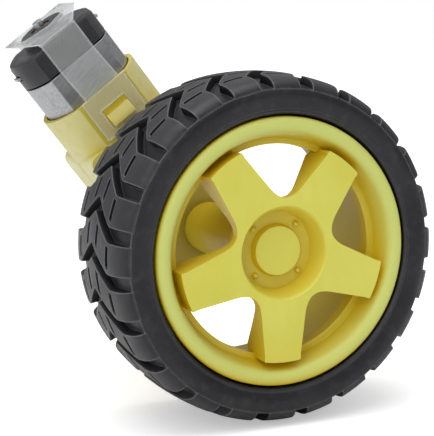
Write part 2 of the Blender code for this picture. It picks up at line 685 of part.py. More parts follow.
def make_end_cap(frame):
    """Plastic cap with a bevelled back edge and a boss for the rear bush."""
    cap = plate("motor_end_cap", [can_outline(0)], CAP_FRONT, CAP_BACK)
    bevel = cap.modifiers.new("Back edge", "BEVEL")
    bevel.width = CAP_CHAMFER
    bevel.segments = 2
    bevel.limit_method = "WEIGHT"
    mark_top_edges(cap.data, CAP_BACK)
    boss = turned("cap_boss", ((0, CAP_BOSS_BACK), (CAP_BOSS_RADIUS - CAP_BOSS_CHAMFER, CAP_BOSS_BACK),
                               (CAP_BOSS_RADIUS, CAP_BOSS_BACK - CAP_BOSS_CHAMFER),
                               (CAP_BOSS_RADIUS, CAP_BACK - CUT_EXTRA), (0, CAP_BACK - CUT_EXTRA)), 40)
    inside = plate("cap_inside", [can_outline(-1.2 * MM)], CAP_FRONT - CUT_EXTRA, CAP_BACK - 1.5 * MM)
    bush_hole = rod("cap_bush_hole", BUSH_RADIUS - 0.3 * MM, CAP_FRONT, CAP_BOSS_BACK + CUT_EXTRA)
    for obj in (cap, boss, inside, bush_hole):
        along_motor(obj, frame)
    combine(cap, boss, "UNION")
    combine(cap, inside, "DIFFERENCE")
    combine(cap, bush_hole, "DIFFERENCE")
    for number, sign in ((1, 1), (2, -1)):
        across = sorted((sign * 7.5 * MM, sign * 12 * MM))
        slot = block(f"terminal_slot_{number}", (TERMINAL_ALONG - 0.6 * MM, -1.7 * MM, across[0]),
                     (TERMINAL_ALONG + 0.6 * MM, 1.7 * MM, across[1]))
        place(slot, frame)
        combine(cap, slot, "DIFFERENCE")
    finish(cap, "cap_plastic")


def make_bushes(frame):
    front = tube("front_bush", BUSH_RADIUS, ROTOR_BORE_RADIUS, *FRONT_BUSH_SPAN)
    rear = tube("rear_bush", BUSH_RADIUS - 0.6 * MM, ROTOR_BORE_RADIUS, *REAR_BUSH_SPAN)
    for bush in (front, rear):
        along_motor(bush, frame)
        finish(bush, "brass")


def make_magnets(frame):
    for number, middle in ((1, 0), (2, pi)):
        start = middle - MAGNET_HALF_ANGLE
        end = middle + MAGNET_HALF_ANGLE
        outline = arc(MAGNET_RADII[1], start, end, 10) + arc(MAGNET_RADII[0], end, start, 10)
        magnet = plate(f"magnet_{number}", [outline], *MAGNET_SPAN)
        along_motor(magnet, frame)
        finish(magnet, "magnet")


def make_brushes(frame):
    """Leaf springs that bear on the commutator, and the tabs that the leads are soldered to."""
    for number, sign in ((1, 1), (2, -1)):
        inner = sign * (COMMUTATOR_RADIUS + 0.15 * MM)
        strip = sign * 0.5 * MM
        root = sign * 6.2 * MM
        start, end = BRUSH_SPAN
        outline = [(start, inner), (start + 2.0 * MM, inner), (start + 3.2 * MM, root), (end, root),
                   (end, root + strip), (start + 2.9 * MM, root + strip),
                   (start + 1.8 * MM, inner + strip), (start, inner + strip)]
        brush = plate(f"brush_{number}", [outline], -1.0 * MM, 1.0 * MM)
        place(brush, frame, (0, 0, 0), ACROSS_WIDTH)
        finish(brush, "copper")
        ends = sorted((sign * TERMINAL_ENDS[0], sign * TERMINAL_ENDS[1]))
        tab = block(f"terminal_{number}", (TERMINAL_ALONG - 0.3 * MM, -1.3 * MM, ends[0]),
                    (TERMINAL_ALONG + 0.3 * MM, 1.3 * MM, ends[1]))
        place(tab, frame)
        finish(tab, "steel")


def make_rotor(frame):
    shaft = rod("motor_shaft", MOTOR_SHAFT_RADIUS, *MOTOR_SHAFT_SPAN)
    along_motor(shaft, frame)
    finish(shaft, "steel")
    pinion = plate("motor_pinion", [gear_outline(PINION_TEETH, -pi / 2), circle(ROTOR_BORE_RADIUS, 24)],
                   *PINION_SPAN)
    along_motor(pinion, frame)
    finish(pinion, "brass")
    commutator = tube("commutator", COMMUTATOR_RADIUS, ROTOR_BORE_RADIUS, *COMMUTATOR_SPAN)
    along_motor(commutator, frame)
    finish(commutator, "copper")
    core = plate("armature_core", [core_outline(), circle(ROTOR_BORE_RADIUS, 24)], *CORE_SPAN)
    along_motor(core, frame)
    finish(core, "can_steel")
    for pole in range(CORE_POLES):
        make_winding(frame, pole)


def core_outline():
    """Hub, pole stems and curved pole shoes of the armature."""
    points = []
    stem = asin(POLE_HALF_WIDTH / CORE_SHOE_RADIUS)
    root = asin(POLE_HALF_WIDTH / CORE_HUB_RADIUS)
    sector = 2 * pi / CORE_POLES
    for pole in range(CORE_POLES):
        angle = sector * pole
        points += arc(CORE_HUB_RADIUS, angle - sector + root, angle - root, 3)
        points += arc(CORE_SHOE_RADIUS, angle - stem, angle - POLE_SHOE_ANGLE, 4)
        points += arc(CORE_RADIUS, angle - POLE_SHOE_ANGLE, angle + POLE_SHOE_ANGLE, 10)
        points += arc(CORE_SHOE_RADIUS, angle + POLE_SHOE_ANGLE, angle + stem, 4)
    return points


def make_winding(frame, pole):
    """Coil round one pole stem: a frame-shaped bundle of wire."""
    outer, inner = WINDING_OUTER, WINDING_INNER
    winding = plate(f"winding_{pole + 1}",
                    [rounded_box((-outer[1] / 2, -outer[0] / 2), (outer[1] / 2, outer[0] / 2), 0.8 * MM, 3),
                     rounded_box((-inner[1] / 2, -inner[0] / 2), (inner[1] / 2, inner[0] / 2), 0.2 * MM, 1)],
                    *WINDING_REACH)
    turn = empty(f"winding_turn_{pole + 1}", frame, (sum(CORE_SPAN) / 2, 0, 0),
                 (2 * pi * pole / CORE_POLES, 0, 0))
    place(winding, turn, (0, 0, 0), (pi, 0, 0))
    finish(winding, "copper")


def strap_profile(low, high):
    """Side view of the strap: a U whose arms step out over the collar and whose end is a low arch."""
    step = COLLAR_BACK + 0.5 * MM
    flat = STRAP_PLATE_DEPTH / 2
    inner = [(STRAP_REACH, high), (step, high), (STRAP_BEND, low),
             (STRAP_FOLD - 0.63 * STRAP_THICKNESS, low),
             (STRAP_BACK - STRAP_THICKNESS, flat - 0.22 * STRAP_THICKNESS)]
    outer = [(STRAP_BACK, flat), (STRAP_FOLD, low + STRAP_THICKNESS),
             (STRAP_BEND, low + STRAP_THICKNESS), (step, high + STRAP_THICKNESS),
             (STRAP_REACH, high + STRAP_THICKNESS)]
    return (inner + [(x, -y) for x, y in reversed(inner)]
            + [(x, -y) for x, y in reversed(outer)] + outer)


def strap_face():
    """Front view of the strap: wide feet, narrower legs, and a back that spreads from the fold."""
    step = COLLAR_BACK + 0.5 * MM
    foot, leg, wing = STRAP_FOOT_WIDTH / 2, STRAP_LEG_WIDTH / 2, STRAP_PLATE_WIDTH / 2
    side = [(STRAP_REACH - CUT_EXTRA, foot), (step, foot), (step, leg), (STRAP_FOLD, leg),
            (STRAP_BACK, wing), (STRAP_BACK + CUT_EXTRA, wing)]
    return side + [(x, -z) for x, z in reversed(side)]


def make_strap(frame):
    """Clear strap round the motor's back, hooked over the catches on both sides of the collar."""
    low = CAN_FLATS / 2 + FIT_GAP
    high = HALF_THICKNESS + FIT_GAP
    deep = high + 2 * STRAP_THICKNESS
    strap = plate("motor_strap", [strap_profile(low, high)], -STRAP_PLATE_WIDTH / 2, STRAP_PLATE_WIDTH / 2)
    face = plate("strap_face", [strap_face()], -deep, deep)
    place(strap, frame)
    place(face, frame, (0, 0, 0), ACROSS_WIDTH)
    combine(strap, face, "INTERSECT")
    window = block("strap_window", (STRAP_WINDOW[0], -deep, -STRAP_WINDOW_WIDTH / 2),
                   (STRAP_WINDOW[1], deep, STRAP_WINDOW_WIDTH / 2))
    place(window, frame)
    combine(strap, window, "DIFFERENCE")
    hole = rod("strap_hole", STRAP_HOLE_RADIUS, CAP_BACK, STRAP_BACK + CUT_EXTRA, 40)
    along_motor(hole, frame)
    combine(strap, hole, "DIFFERENCE")
    finish(strap, "strap_plastic")


def main():
    gearbox = empty("gearbox_frame", None, (0, GEARBOX_MIDDLE_Y, 0), (0, pi + MOTOR_TILT, 0))
    wheel = empty("wheel_axle")
    make_tyre(wheel)
    make_rim(wheel)
    make_output_shaft(wheel)
    make_output_gear(gearbox)
    make_idler_gear(gearbox)
    make_middle_gear(gearbox)
    make_crown_gear(gearbox)
    make_housing(gearbox, "housing_wheel_side", -1)
    make_housing(gearbox, "housing_far_side", 1)
    make_pin(gearbox)
    make_screws(gearbox)
    make_can(gearbox)
    make_end_cap(gearbox)
    make_bushes(gearbox)
    make_magnets(gearbox)
    make_brushes(gearbox)
    make_rotor(gearbox)
    make_strap(gearbox)


main()
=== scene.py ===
"""Looks of a small robot car's drive wheel and gear motor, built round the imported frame.

Lengths are in metres. The wheel's pieces are made about their own axle, with the depth
measured from the tyre's outer side inwards, and then laid along the frame's Y axis.
"""

import json
from math import asin, cos, pi, radians, sin

import bmesh
import bpy
from mathutils import Matrix, Vector

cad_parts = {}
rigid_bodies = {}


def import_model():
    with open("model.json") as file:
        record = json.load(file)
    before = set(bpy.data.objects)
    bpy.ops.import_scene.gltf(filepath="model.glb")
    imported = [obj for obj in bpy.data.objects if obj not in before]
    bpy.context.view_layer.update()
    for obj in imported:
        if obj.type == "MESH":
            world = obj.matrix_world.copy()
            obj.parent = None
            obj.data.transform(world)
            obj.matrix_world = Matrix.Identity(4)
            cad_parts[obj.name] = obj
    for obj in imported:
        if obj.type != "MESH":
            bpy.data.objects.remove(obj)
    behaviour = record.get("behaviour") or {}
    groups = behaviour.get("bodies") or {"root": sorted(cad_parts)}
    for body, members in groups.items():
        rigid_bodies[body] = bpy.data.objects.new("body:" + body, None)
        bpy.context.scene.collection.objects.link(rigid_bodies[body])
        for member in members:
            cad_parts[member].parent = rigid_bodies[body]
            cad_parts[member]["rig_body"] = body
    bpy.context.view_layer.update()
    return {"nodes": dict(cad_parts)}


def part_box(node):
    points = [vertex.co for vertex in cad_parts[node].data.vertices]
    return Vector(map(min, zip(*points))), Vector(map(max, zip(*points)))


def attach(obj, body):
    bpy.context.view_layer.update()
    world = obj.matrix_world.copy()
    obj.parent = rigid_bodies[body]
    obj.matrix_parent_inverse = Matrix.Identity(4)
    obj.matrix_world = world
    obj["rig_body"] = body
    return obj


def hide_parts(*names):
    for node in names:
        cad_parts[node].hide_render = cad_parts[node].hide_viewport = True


MM = 0.001

# Camera, set from the proportions of the view
CAMERA_AZIMUTH = radians(-23.35)
CAMERA_ELEVATION = radians(8.15)
CAMERA_ROLL = radians(-0.34)
CAMERA_DISTANCE = 250 * MM
CAMERA_TARGET = Vector((-4.92, 20.0, 4.19)) * MM
CAMERA_LENS = 107.2
CAMERA_SENSOR = 36.0

# Light: a white sky, brighter overhead than at the horizon, and two broad suns given as
# (strength, angular width, direction they shine from)
WORLD_LOW = 0.22
WORLD_HIGH = 0.66
WORLD_SHOWN = 1.0
SUNS = {
    "overhead": (1.35, radians(50), Vector((-0.15, -0.10, 1.0))),
    "front_left": (0.78, radians(50), Vector((-0.75, -0.80, 0.60))),
}
FLOOR_SIZE = 6.0
FLOOR_GLOW = 0.42

# Tyre, in millimetres. A side row is (radius, depth, how deep a groove is cut there). Places along
# the tread are fractions of one period, and the crown drops by a factor of the width squared.
TREAD_PERIODS = 24
TREAD_PHASE = radians(4.5)
TYRE_HALF_WIDTH = 13.3
SIDE_ROWS = (
    (24.3, 3.4, 0), (25.0, 3.0, 0), (25.02, 1.3, 0), (25.25, 0.85, 0), (25.6, 0.62, 0),
    (26.0, 0.66, 0), (26.3, 0.48, 0), (27.2, 0.2, 0), (28.2, 0.05, 0), (29.0, 0.12, 0),
    (29.55, 0.42, 0), (29.75, 0.34, 0.15), (30.0, 0.42, 0.55), (30.6, 0.8, 1.0), (31.1, 1.4, 1.3),
    (31.5, 2.1, 1.45), (31.8, 3.1, 1.55),
)
GROOVE_CUT = 1.6
GROOVE_END = 0.29
BLOCK_START = 0.31
BLOCK_STEPS = (0.56, 0.72)
BLOCK_END = 0.98
SLIT_START = (0.40, 0.42)
SLIT_END = (0.86, 0.88)
SLIT_DEPTHS = (6.0, 11.0)
SLIT_HALF_WIDTH = 0.42
SLIT_WALL = 0.14
SLIT_CUT = 1.25
SHOULDER_DEPTH = 4.2
RIB_DEPTH = 8.5
CROWN_RADIUS = 32.55
CROWN_DROP = 0.0066
CHEVRON_REACH = 7.3
CHEVRON_SHIFT = -4.9
TYRE_ROUNDING = 0.20
TYRE_ROUNDED_ANGLE = 28

# Rim, in millimetres
RIM_STEPS = 192
SPOKES = 5
SPOKE_ANGLE = radians(-91)
SPOKE_TIP_RADIUS = 20.3
SPOKE_HALF_WIDTH_OUT = 3.6
SPOKE_HALF_WIDTH_IN = 4.4
SPOKE_FLARE_RADIUS = 12.5
WINDOW_INNER_RADIUS = 10.1
WINDOW_OUTER_RADIUS = 19.5
WINDOW_TIP_GAP = 0.15
WINDOW_CURVE_STEPS = 10
WINDOW_CUT_BACK = 10.0
RING_DEPTH = 5.0
BORE_RADIUS = 3.0
BORE_FLAT = 2.15
BORE_SPAN = (18.0, 37.0)
CUT_EXTRA = 1.0
NUB_COUNT = 4
NUB_RADIUS = 6.15
NUB_SIZE = 0.58
NUB_DEPTH = 4.55
NUB_ANGLE = radians(42)
RIM_ROUNDING = 0.22
RIM_ROUNDED_ANGLE = 32

# Mesh clean-up
WELD_NEW = 0.0005 * MM
WELD_CAD = 0.002 * MM
FLAT_NEW = radians(0.4)
FLAT_CAD = radians(0.5)


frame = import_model()
tyre_low, tyre_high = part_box("tyre")
WHEEL_FACE = tyre_low.y
FLOOR_LEVEL = tyre_low.z
AXLE_TO_FRAME = Matrix.Translation((0, WHEEL_FACE, 0)) @ Matrix.Rotation(-pi / 2, 4, "X")


def link(name, mesh):
    obj = bpy.data.objects.new(name, mesh)
    bpy.context.scene.collection.objects.link(obj)
    return obj


# ---------------------------------------------------------------- materials

class Look:
    """A node material under construction, in object coordinates."""

    def __init__(self, name, roughness, metallic=0.0):
        self.material = bpy.data.materials.new(name)
        self.material.use_nodes = True
        self.tree = self.material.node_tree
        self.shader = self.tree.nodes["Principled BSDF"]
        self.shader.inputs["Roughness"].default_value = roughness
        self.shader.inputs["Metallic"].default_value = metallic
        self.place = self.node("ShaderNodeTexCoord").outputs["Object"]
        self.last_bump = None

    def node(self, kind, **values):
        made = self.tree.nodes.new(kind)
        for key, value in values.items():
            setattr(made, key, value)
        return made

    def join(self, source, target):
        self.tree.links.new(source, target)

    def noise(self, size, detail=3.0, stretch=None, turn=0.0):
        """Noise whose features have the given size, stretched along the turned axes."""
        vector = self.place
        if stretch:
            turned = self.node("ShaderNodeMapping")
            turned.inputs["Rotation"].default_value = (0, turn, 0)
            self.join(vector, turned.inputs["Vector"])
            scaled = self.node("ShaderNodeMapping")
            scaled.inputs["Scale"].default_value = stretch
            self.join(turned.outputs["Vector"], scaled.inputs["Vector"])
            vector = scaled.outputs["Vector"]
        made = self.node("ShaderNodeTexNoise")
        made.inputs["Scale"].default_value = 1 / size
        made.inputs["Detail"].default_value = detail
        self.join(vector, made.inputs["Vector"])
        return made.outputs["Fac"]

    def specks(self, size):
        made = self.node("ShaderNodeTexVoronoi")
        made.inputs["Scale"].default_value = 1 / size
        self.join(self.place, made.inputs["Vector"])
        return made.outputs["Distance"]

    def spread(self, source, low, high, start=0.0, end=1.0):
        """Map a value's range on to another one."""
        made = self.node("ShaderNodeMapRange")
        made.inputs["From Min"].default_value = low
        made.inputs["From Max"].default_value = high
        made.inputs["To Min"].default_value = start
        made.inputs["To Max"].default_value = end
        self.join(source, made.inputs["Value"])
        return made.outputs["Result"]

    def edges(self, width, amount):
        """How much of an edge or corner lies within a width of a point."""
        rounded = self.node("ShaderNodeBevel")
        rounded.inputs["Radius"].default_value = width
        flat = self.node("ShaderNodeNewGeometry")
        match = self.node("ShaderNodeVectorMath", operation="DOT_PRODUCT")
        self.join(rounded.outputs["Normal"], match.inputs[0])
        self.join(flat.outputs["Normal"], match.inputs[1])
        return self.spread(match.outputs["Value"], 0.995, 0.85, 0.0, amount)

    def openness(self, reach, low, high):
        """How open the surroundings of a point are, from enclosed to free."""
        made = self.node("ShaderNodeAmbientOcclusion", samples=8)
        made.inputs["Distance"].default_value = reach
        return self.spread(made.outputs["AO"], low, high)

    def radius(self):
        """Distance of a point from the axle, which lies along Y."""
        flat = self.node("ShaderNodeVectorMath", operation="MULTIPLY")
        flat.inputs[1].default_value = (1, 0, 1)
        self.join(self.place, flat.inputs[0])
        length = self.node("ShaderNodeVectorMath", operation="LENGTH")
        self.join(flat.outputs["Vector"], length.inputs[0])
        return length.outputs["Value"]

    def times(self, first, second):
        made = self.node("ShaderNodeMath", operation="MULTIPLY")
        self.join(first, made.inputs[0])
        if isinstance(second, float):
            made.inputs[1].default_value = second
        else:
            self.join(second, made.inputs[1])
        return made.outputs[0]

    def blend(self, factor, first, second):
        """Mix two colours, each a tuple or another node's output."""
        made = self.node("ShaderNodeMix", data_type="RGBA")
        self.join(factor, made.inputs["Factor"])
        for value, socket in ((first, made.inputs[6]), (second, made.inputs[7])):
            if isinstance(value, tuple):
                socket.default_value = (*value, 1)
            else:
                self.join(value, socket)
        return made.outputs[2]

    def colour(self, source):
        self.join(source, self.shader.inputs["Base Color"])

    def rough(self, source):
        self.join(source, self.shader.inputs["Roughness"])

    def bump(self, source, height, strength=1.0):
        made = self.node("ShaderNodeBump")
        made.inputs["Distance"].default_value = height
        made.inputs["Strength"].default_value = strength
        self.join(source, made.inputs["Height"])
        if self.last_bump:
            self.join(self.last_bump, made.inputs["Normal"])
        self.last_bump = made.outputs["Normal"]
        self.join(self.last_bump, self.shader.inputs["Normal"])


def rubber():
    """Black rubber: grainy skin, dusty patches, painted shade that darkens the grooves, and paler edges that
    are partly wear and partly painted highlight.
    """
    look = Look("tyre_rubber", 0.42)
    look.shader.inputs["Specular IOR Level"].default_value = 0.4
    patches = look.spread(look.noise(9 * MM, 4.0), 0.35, 0.68)
    base = look.blend(patches, (0.007, 0.007, 0.010), (0.015, 0.015, 0.019))
    dust = look.times(look.spread(look.noise(1.6 * MM, 5.0), 0.5, 0.75), 0.30)
    tread = look.spread(look.radius(), 30.0 * MM, 31.3 * MM)
    scuffed = look.blend(tread, base, (0.034, 0.034, 0.038))
    dusty = look.blend(dust, scuffed, (0.055, 0.054, 0.058))
    # Paler edges: partly wear, partly a painted highlight along the block edges.
    wear_and_highlight = look.blend(look.edges(0.45 * MM, 1.0), dusty, (0.22, 0.22, 0.23))
    # Near black where the surroundings are enclosed: painted shade in the grooves.
    look.colour(look.blend(look.openness(4 * MM, 0.35, 0.9), (0.003, 0.003, 0.004), wear_and_highlight))
    look.rough(look.spread(look.noise(4 * MM, 3.0), 0.3, 0.7, 0.34, 0.50))
    look.bump(look.noise(0.22 * MM, 3.0), 0.02 * MM, 0.6)
    look.bump(look.noise(1.8 * MM, 2.0), 0.04 * MM, 0.5)
    return look.material


def rim_plastic():
    """Moulded lemon yellow plastic: satin skin, flow marks, a greener lip band that is a painted sheen, and
    painted warm shade in the recesses.
    """
    look = Look("rim_plastic", 0.36)
    look.shader.inputs["Specular IOR Level"].default_value = 0.3
    flow = look.spread(look.noise(14 * MM, 3.0), 0.35, 0.65)
    base = look.blend(flow, (0.67, 0.63, 0.09), (0.72, 0.69, 0.12))
    streaks = look.times(look.spread(look.noise(2.4 * MM, 5.0, (1, 1, 0.25)), 0.45, 0.75), 0.30)
    marked = look.blend(streaks, base, (0.66, 0.585, 0.06))
    # A paler, greener band on the lip: painted sheen.
    lip = look.spread(look.radius(), 20.8 * MM, 22.0 * MM, 0.0, 0.85)
    paler = look.blend(lip, marked, (0.60, 0.66, 0.19))
    # Warm orange where the surroundings are enclosed: painted shade in the recesses.
    look.colour(look.blend(look.openness(30 * MM, 0.30, 0.86), (0.66, 0.46, 0.008), paler))
    look.rough(look.spread(look.noise(3 * MM, 4.0), 0.3, 0.7, 0.30, 0.44))
    look.bump(look.noise(0.35 * MM, 2.0), 0.008 * MM, 0.5)
    look.bump(look.noise(6 * MM, 2.0), 0.05 * MM, 0.5)
    return look.material


def housing_plastic():
    """Paler, creamier yellow plastic with a fine eroded texture, and painted warm shade where it is enclosed.
    """
    look = Look("housing_plastic", 0.42)
    cloud = look.spread(look.noise(11 * MM, 3.0), 0.35, 0.65)
    base = look.blend(cloud, (0.72, 0.68, 0.31), (0.78, 0.75, 0.40))
    grime = look.times(look.spread(look.noise(2.0 * MM, 5.0), 0.52, 0.75), 0.35)
    dull = look.blend(grime, base, (0.58, 0.49, 0.16))
    # Warm orange where the surroundings are enclosed: painted shade.
    look.colour(look.blend(look.openness(25 * MM, 0.45, 1.0), (0.62, 0.50, 0.04), dull))
    look.rough(look.spread(look.noise(2.5 * MM, 3.0), 0.3, 0.7, 0.36, 0.50))
    look.bump(look.noise(0.25 * MM, 3.0), 0.012 * MM, 0.6)
    return look.material


def nylon():
    """Off-white gear nylon, slightly mottled."""
    look = Look("gear_nylon", 0.45)
    mottle = look.spread(look.noise(3 * MM, 4.0), 0.35, 0.65)
    look.colour(look.blend(mottle, (0.72, 0.70, 0.63), (0.82, 0.80, 0.74)))
    look.rough(look.spread(look.noise(1.2 * MM, 3.0), 0.3, 0.7, 0.38, 0.52))
    look.bump(look.noise(0.3 * MM, 2.0), 0.01 * MM, 0.5)
    return look.material


def metal(name, dark, light, roughness, stretch=(1, 1, 1), turn=0.0, grain=0.4 * MM):
    """Bare metal with drawing or turning marks, and duller patches."""
    look = Look(name, roughness, 1.0)
    marks = look.noise(grain, 4.0, stretch, turn)
    patches = look.noise(4 * MM, 4.0)
    base = look.blend(look.spread(marks, 0.3, 0.7), dark, light)
    tarnish = look.times(look.spread(patches, 0.5, 0.8), 0.45)
    darker = tuple(0.6 * part for part in dark)
    look.colour(look.blend(tarnish, base, darker))
    look.rough(look.spread(marks, 0.25, 0.75, roughness - 0.08, roughness + 0.12))
    look.bump(marks, 0.006 * MM, 0.6)
    return look.material


def cap_plastic():
    """Dark grey moulded plastic of the motor's end cap."""
    look = Look("cap_plastic", 0.34)
    cloud = look.spread(look.noise(5 * MM, 4.0), 0.35, 0.65)
    base = look.blend(cloud, (0.017, 0.017, 0.020), (0.030, 0.030, 0.034))
    look.colour(look.blend(look.edges(0.25 * MM, 0.6), base, (0.10, 0.10, 0.105)))
    look.rough(look.spread(look.noise(1.5 * MM, 4.0), 0.3, 0.7, 0.26, 0.42))
    look.bump(look.noise(0.25 * MM, 3.0), 0.01 * MM, 0.6)
    return look.material


def strap_plastic():
    """Clear, slightly hazy plastic, whiter at slanting views and along its edges: painted reflection and
    painted highlight.
    """
    look = Look("strap_plastic", 0.14)
    look.shader.inputs["Transmission Weight"].default_value = 0.45
    look.shader.inputs["IOR"].default_value = 1.46
    haze = look.spread(look.noise(5 * MM, 3.0), 0.35, 0.65)
    look.colour(look.blend(haze, (0.88, 0.92, 0.92), (0.96, 0.98, 0.98)))
    look.rough(look.spread(look.noise(2.0 * MM, 4.0), 0.35, 0.7, 0.08, 0.22))
    # More opaque, and so whiter, at slanting views and along the edges: painted reflection and painted
    # highlight.
    slant = look.node("ShaderNodeLayerWeight")
    slant.inputs["Blend"].default_value = 0.35
    solid = look.spread(slant.outputs["Facing"], 0.3, 0.95, 0.28, 0.85)
    cover = look.node("ShaderNodeMath", operation="MAXIMUM")
    look.join(look.edges(0.5 * MM, 1.0), cover.inputs[0])
    look.join(solid, cover.inputs[1])
    look.join(cover.outputs[0], look.shader.inputs["Alpha"])
    look.bump(look.noise(3.5 * MM, 2.0), 0.03 * MM, 0.5)
    return look.material


def magnet_ferrite():
    """Sintered ferrite: dark, grainy and chalky."""
    look = Look("magnet", 0.6)
    look.colour(look.blend(look.specks(0.5 * MM), (0.060, 0.055, 0.055), (0.13, 0.12, 0.12)))
    look.rough(look.spread(look.noise(0.8 * MM, 3.0), 0.3, 0.7, 0.5, 0.7))
    look.bump(look.noise(0.3 * MM, 3.0), 0.03 * MM, 0.7)
    return look.material


def copper_wire():
    """Enamelled windings: fine ridges of wire laid side by side."""
    look = Look("copper_wire", 0.32, 1.0)
    wave = look.node("ShaderNodeTexWave", wave_type="BANDS", bands_direction="Y")
    wave.inputs["Scale"].default_value = 1 / (2.2 * MM)
    wave.inputs["Distortion"].default_value = 0.8
    look.join(look.place, wave.inputs["Vector"])
    look.colour(look.blend(wave.outputs["Fac"], (0.30, 0.10, 0.04), (0.66, 0.29, 0.13)))
    look.rough(look.spread(look.noise(1.0 * MM, 3.0), 0.3, 0.7, 0.25, 0.42))
    look.bump(wave.outputs["Fac"], 0.06 * MM, 0.7)
    return look.material


MOTOR_TURN = radians(52.3)
LOOKS = {
    "tyre_rubber": rubber(),
    "rim_plastic": rim_plastic(),
    "housing_plastic": housing_plastic(),
    "gear_nylon": nylon(),
    "steel": metal("steel", (0.42, 0.42, 0.44), (0.66, 0.66, 0.68), 0.28),
    "can_steel": metal("can_steel", (0.36, 0.37, 0.38), (0.52, 0.53, 0.54), 0.34,
                       (0.12, 1, 1), MOTOR_TURN, 0.5 * MM),
    "brass": metal("brass", (0.52, 0.36, 0.12), (0.76, 0.58, 0.27), 0.26),
    "copper": copper_wire(),
    "magnet": magnet_ferrite(),
    "cap_plastic": cap_plastic(),
    "strap_plastic": strap_plastic(),
}


def dress(obj, name):
    """Give a new piece its material."""
    obj.data.materials.clear()
    obj.data.materials.append(LOOKS[name])


# ---------------------------------------------------------------- mesh tools

def apply_modifiers(obj):
    """Keep an object's evaluated mesh and drop its modifiers."""
    bpy.context.view_layer.update()
    mesh = bpy.data.meshes.new_from_object(obj.evaluated_get(bpy.context.evaluated_depsgraph_get()))
    obj.modifiers.clear()
    old = obj.data
    obj.data = mesh
    bpy.data.meshes.remove(old)


def merge_flat(obj):
    """Join neighbouring faces that lie in one plane."""
    bm = bmesh.new()
    bm.from_mesh(obj.data)
    bmesh.ops.remove_doubles(bm, verts=bm.verts, dist=WELD_NEW)
    bmesh.ops.dissolve_limit(bm, angle_limit=FLAT_NEW, verts=bm.verts, edges=bm.edges)
    bm.to_mesh(obj.data)
    bm.free()


def soften(obj, width, segments=2, angle=30):
    """Round the sharp edges and shade the rest smooth."""
    bevel = obj.modifiers.new("Edges", "BEVEL")
    bevel.width = width
    bevel.segments = segments
    bevel.limit_method = "ANGLE"
    bevel.angle_limit = radians(angle)
    bevel.use_clamp_overlap = True
    apply_modifiers(obj)
    obj.data.shade_smooth()
    normals = obj.modifiers.new("Normals", "WEIGHTED_NORMAL")
    normals.keep_sharp = True
    apply_modifiers(obj)


def turned_mesh(name, profile, steps):
    """Closed solid turned about Z from (radius, height) points that run axis to axis."""
    bm = bmesh.new()
    rings = []
    for radius, height in profile:
        if radius == 0:
            rings.append([bm.verts.new((0, 0, height))])
            continue
        angles = [2 * pi * step / steps for step in range(steps)]
        rings.append([bm.verts.new((radius * cos(a), radius * sin(a), height)) for a in angles])
    for first, second in zip(rings, rings[1:]):
        for step in range(steps):
            after = (step + 1) % steps
            corners = [first[step % len(first)], first[after % len(first)],
                       second[after % len(second)], second[step % len(second)]]
            bm.faces.new(list(dict.fromkeys(corners)))
    bmesh.ops.recalc_face_normals(bm, faces=bm.faces)
    mesh = bpy.data.meshes.new(name)
    bm.to_mesh(mesh)
    bm.free()
    return mesh


def prism_mesh(name, outlines, low, high):
    """Closed upright prisms from flat outlines."""
    bm = bmesh.new()
    for outline in outlines:
        bottom = [bm.verts.new((x, y, low)) for x, y in outline]
        top = [bm.verts.new((x, y, high)) for x, y in outline]
        bm.faces.new(bottom)
        bm.faces.new(top)
        for step in range(len(outline)):
            after = (step + 1) % len(outline)
            bm.faces.new((bottom[step], bottom[after], top[after], top[step]))
    bmesh.ops.recalc_face_normals(bm, faces=bm.faces)
    mesh = bpy.data.meshes.new(name)
    bm.to_mesh(mesh)
    bm.free()
    return mesh


def cut(obj, tool):
    """Cut a tool object out of another, and remove the tool."""
    modifier = obj.modifiers.new("Cut", "BOOLEAN")
    modifier.operation = "DIFFERENCE"
    modifier.solver = "EXACT"
    modifier.object = tool
    apply_modifiers(obj)
    bpy.data.objects.remove(tool)


def refined(node, look, width, segments=2):
    """A smoother, edge-rounded copy of a CAD node, which it stands for."""
    source = frame["nodes"][node]
    bm = bmesh.new()
    bm.from_mesh(source.data)
    bmesh.ops.remove_doubles(bm, verts=bm.verts, dist=WELD_CAD)
    bmesh.ops.dissolve_limit(bm, angle_limit=FLAT_CAD, verts=bm.verts, edges=bm.edges)
    bmesh.ops.recalc_face_normals(bm, faces=bm.faces)
    mesh = bpy.data.meshes.new("fine_" + node)
    bm.to_mesh(mesh)
    bm.free()
    obj = link("fine_" + node, mesh)
    soften(obj, width, segments)
    dress(obj, look)
    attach(obj, source["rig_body"])
    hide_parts(node)
    return obj


# ---------------------------------------------------------------- tyre

def tread_radius(depth):
    """Outer radius of the tread, which is crowned across its width."""
    return CROWN_RADIUS - CROWN_DROP * (TYRE_HALF_WIDTH - depth) ** 2


def tyre_rows():
    """Rows of (radius, depth, groove cut, slit cut) over one whole section."""
    rows = [(radius, depth, cut_here, 0.0) for radius, depth, cut_here in SIDE_ROWS]
    depths = [(SHOULDER_DEPTH, 0.0), (RIB_DEPTH, 0.0)]
    for middle in SLIT_DEPTHS:
        for offset, cut_here in ((-SLIT_HALF_WIDTH - SLIT_WALL, 0.0), (-SLIT_HALF_WIDTH, SLIT_CUT),
                                 (SLIT_HALF_WIDTH, SLIT_CUT), (SLIT_HALF_WIDTH + SLIT_WALL, 0.0)):
            depths.append((middle + offset, cut_here))
    rows += [(tread_radius(depth), depth, GROOVE_CUT, slit) for depth, slit in sorted(depths)]
    middle = [(CROWN_RADIUS, TYRE_HALF_WIDTH, GROOVE_CUT, 0.0)]
    mirrored = [(radius, 2 * TYRE_HALF_WIDTH - depth, groove, slit)
                for radius, depth, groove, slit in reversed(rows)]
    return rows + middle + mirrored


def chevron(depth):
    """Shift of the tread along the circumference, which makes its V."""
    off_middle = abs(depth - TYRE_HALF_WIDTH)
    return CHEVRON_SHIFT * max(0.0, 1 - off_middle / CHEVRON_REACH)


